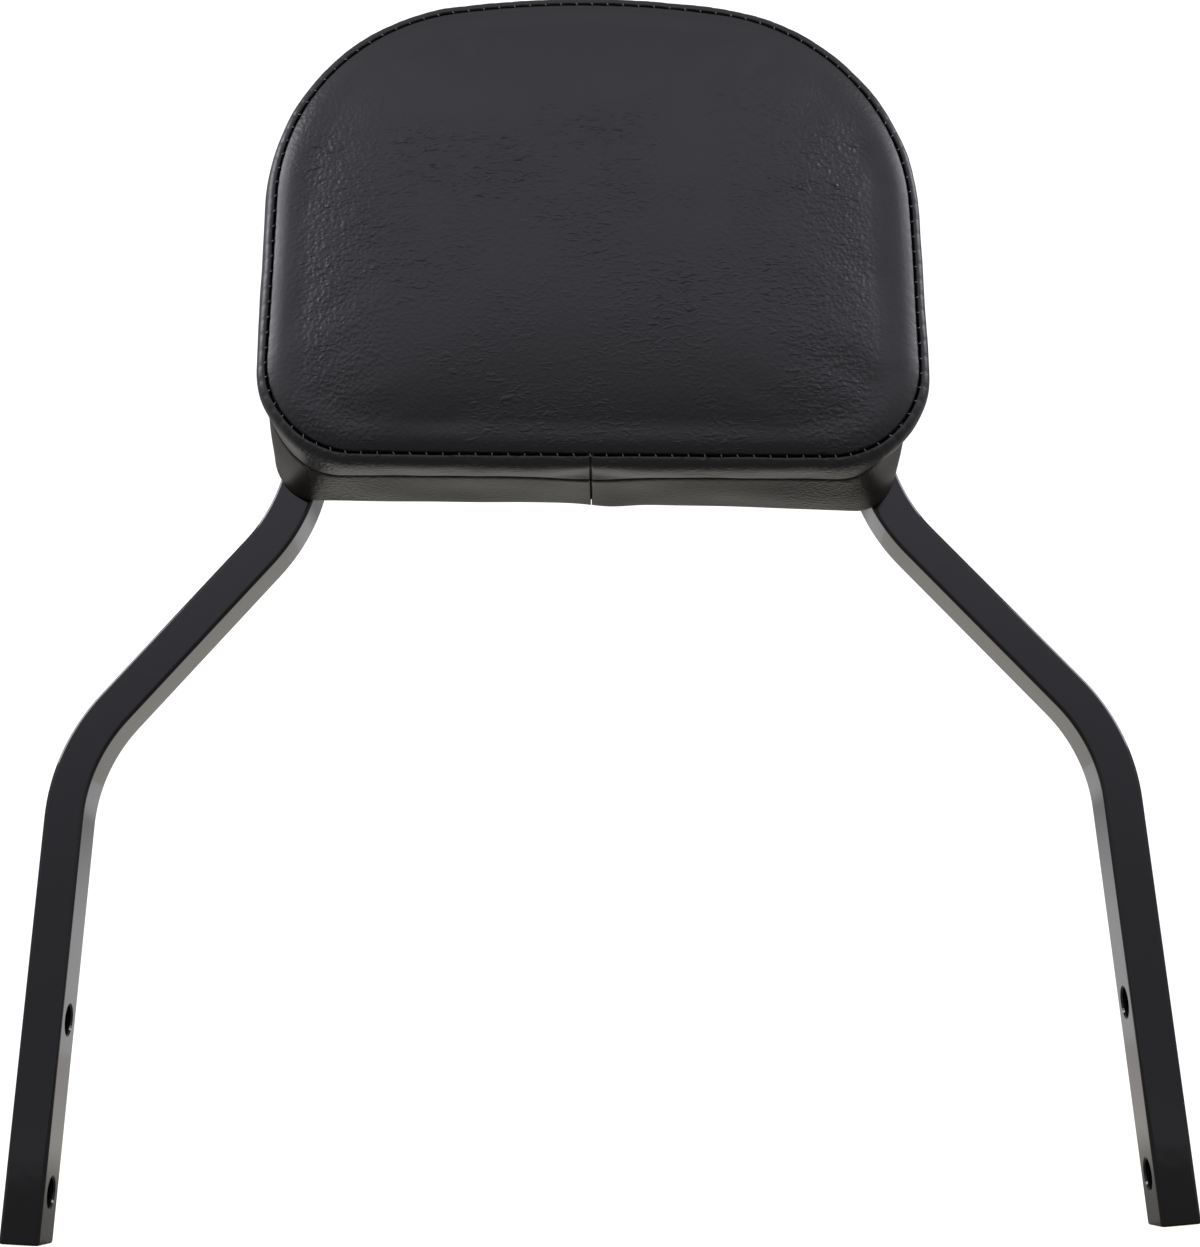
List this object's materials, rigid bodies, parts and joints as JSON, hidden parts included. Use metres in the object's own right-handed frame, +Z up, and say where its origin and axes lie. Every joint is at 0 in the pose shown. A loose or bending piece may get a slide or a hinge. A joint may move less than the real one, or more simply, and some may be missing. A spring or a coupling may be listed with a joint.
{
  "type": "motorcycle sissy bar",
  "caption": "Bent rectangular bar hoop with two splayed legs, tapped for mounting, and a crowned, stitched vinyl back pad bolted to a plate between its uprights.",
  "frame": {"origin": "on the lowest point of the leg ends, midway between the legs, and halfway between the pad's front and the bar's rear face", "axes": "+Z up the backrest, +X to the right seen from the padded side, and the pad faces -Y"},
  "size_m": [0.375, 0.0806, 0.3953],
  "materials": {
    "bar": "gloss black powder coat on steel",
    "vinyl": "black grained vinyl, satin",
    "board": "plain birch plywood",
    "foam": "open-cell foam",
    "back_cloth": "black non-woven cloth",
    "tee_nut": "bright zinc plate",
    "fixings": "black zinc plate"
  },
  "bodies": {
    "root": {"hoop_bar": "bar", "pad_plate": "bar", "plate_weld_left": "bar", "plate_weld_right": "bar", "base_board": "board", "foam_core": "foam", "front_panel": "vinyl", "edge_band": "vinyl", "boxing_strip": "vinyl", "back_cloth": "back_cloth", "tee_nut_1": "tee_nut", "tee_nut_2": "tee_nut", "tee_nut_3": "tee_nut", "tee_nut_4": "tee_nut", "pad_bolt_1": "fixings", "pad_bolt_2": "fixings", "pad_bolt_3": "fixings", "pad_bolt_4": "fixings", "lock_washer_1": "fixings", "lock_washer_2": "fixings", "lock_washer_3": "fixings", "lock_washer_4": "fixings", "flat_washer_1": "fixings", "flat_washer_2": "fixings", "flat_washer_3": "fixings", "flat_washer_4": "fixings"}
  },
  "joints": []
}
